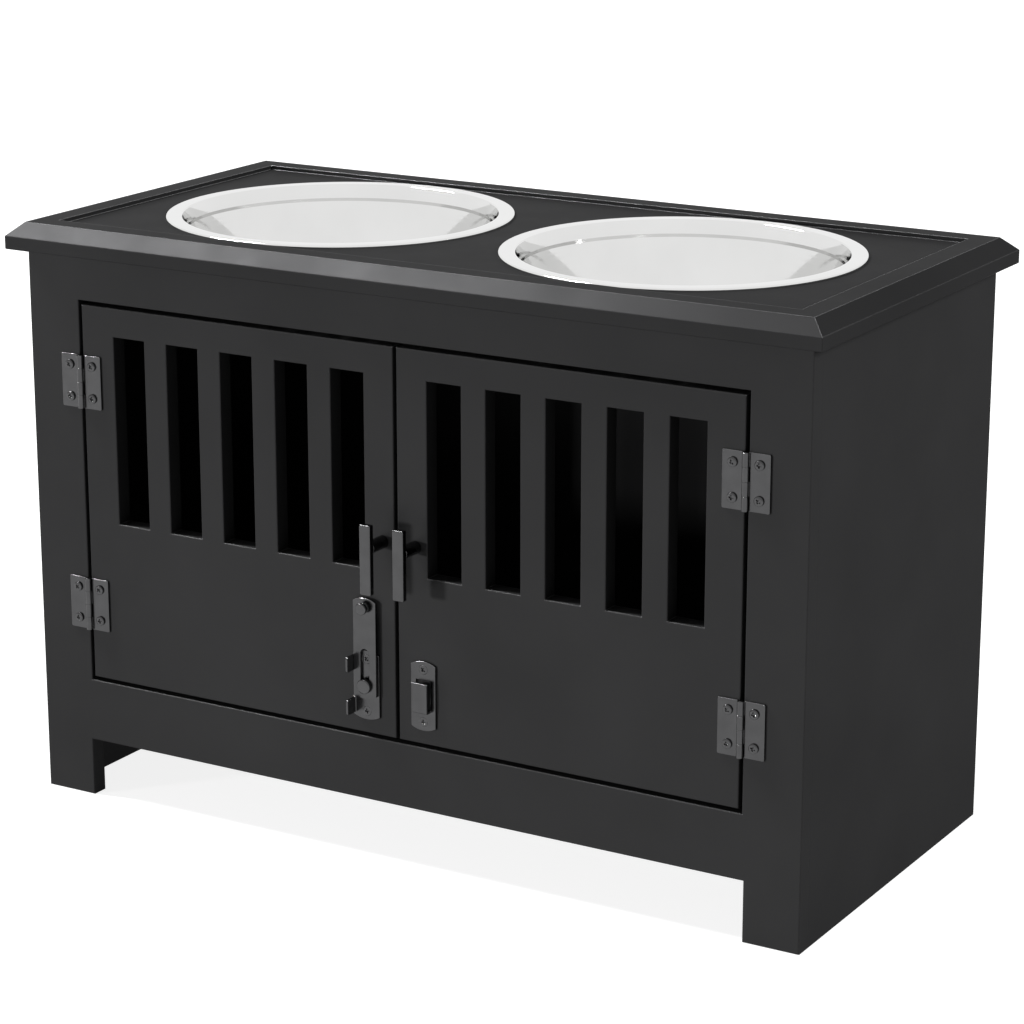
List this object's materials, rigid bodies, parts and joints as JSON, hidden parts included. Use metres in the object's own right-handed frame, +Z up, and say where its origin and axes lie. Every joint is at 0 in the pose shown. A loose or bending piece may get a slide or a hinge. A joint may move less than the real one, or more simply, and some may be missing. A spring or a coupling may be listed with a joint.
{
  "type": "elevated dog feeder with storage",
  "caption": "Raised pet feeding cabinet with drop-in steel bowls in a recessed top and slotted, latched storage doors.",
  "frame": {"origin": "on the floor, under the middle of the whole object's box", "axes": "+X to the right seen from the front, +Y towards the back, +Z up; the doors face -Y"},
  "size_m": [0.6, 0.3102, 0.4],
  "materials": {
    "top_paint": "satin black lacquer on board",
    "cabinet_paint": "satin black lacquer on board",
    "door_paint": "satin black lacquer on board",
    "inner_paint": "satin black lacquer on board",
    "dowel_wood": "plain beech",
    "hinge_metal": "satin dark grey coating",
    "handle_metal": "satin dark grey coating",
    "latch_metal": "satin dark grey coating",
    "bowl_steel": "polished stainless steel"
  },
  "bodies": {
    "cabinet": {"back_dowels": "dowel_wood", "back_panel": "inner_paint", "floor_dowels": "dowel_wood", "floor_panel": "inner_paint", "frame_dowels": "dowel_wood", "frame_hinge_screws": "hinge_metal", "front_frame": "cabinet_paint", "left_lower_hinge_frame_leaf": "hinge_metal", "left_lower_hinge_pin": "hinge_metal", "left_side_panel": "cabinet_paint", "left_upper_hinge_frame_leaf": "hinge_metal", "left_upper_hinge_pin": "hinge_metal", "right_lower_hinge_frame_leaf": "hinge_metal", "right_lower_hinge_pin": "hinge_metal", "right_side_panel": "cabinet_paint", "right_upper_hinge_frame_leaf": "hinge_metal", "right_upper_hinge_pin": "hinge_metal", "top_board": "top_paint", "top_dowels": "dowel_wood"},
    "left_door": {"latch_base": "latch_metal", "latch_base_screws": "latch_metal", "left_door": "door_paint", "left_door_hinge_screws": "hinge_metal", "left_handle_bar": "handle_metal", "left_handle_post": "handle_metal", "left_handle_screw": "handle_metal", "left_lower_hinge_door_leaf": "hinge_metal", "left_upper_hinge_door_leaf": "hinge_metal"},
    "right_door": {"latch_keeper": "latch_metal", "latch_keeper_screws": "latch_metal", "right_door": "door_paint", "right_door_hinge_screws": "hinge_metal", "right_handle_bar": "handle_metal", "right_handle_post": "handle_metal", "right_handle_screw": "handle_metal", "right_lower_hinge_door_leaf": "hinge_metal", "right_upper_hinge_door_leaf": "hinge_metal"},
    "latch_pin": {"latch_pin": "latch_metal"},
    "latch_bar": {"latch_bar": "latch_metal", "latch_knob": "latch_metal"},
    "left_bowl": {"left_bowl": "bowl_steel"},
    "right_bowl": {"right_bowl": "bowl_steel"}
  },
  "joints": [
    {"name": "left_door_swing", "type": "hinge", "parent": "cabinet", "child": "left_door", "pos_m": [-0.248, -0.13566, 0.2177], "axis": [0, 0, -1], "range_deg": [0, 170]},
    {"name": "right_door_swing", "type": "hinge", "parent": "cabinet", "child": "right_door", "pos_m": [0.248, -0.13566, 0.2177], "axis": [0, 0, 1], "range_deg": [0, 170]},
    {"name": "latch_turn", "type": "hinge", "parent": "left_door", "child": "latch_pin", "pos_m": [-0.0228, -0.13695, 0.1205], "axis": [0, -1, 0], "range_deg": [-90, 0]},
    {"name": "latch_slide", "type": "slide", "parent": "latch_pin", "child": "latch_bar", "axis": [0, 0, -1], "range_m": [0, 0.0218]},
    {"name": "left_bowl_lift", "type": "slide", "parent": "cabinet", "child": "left_bowl", "axis": [0, 0, 1], "range_m": [0, 0.08]},
    {"name": "right_bowl_lift", "type": "slide", "parent": "cabinet", "child": "right_bowl", "axis": [0, 0, 1], "range_m": [0, 0.08]}
  ]
}
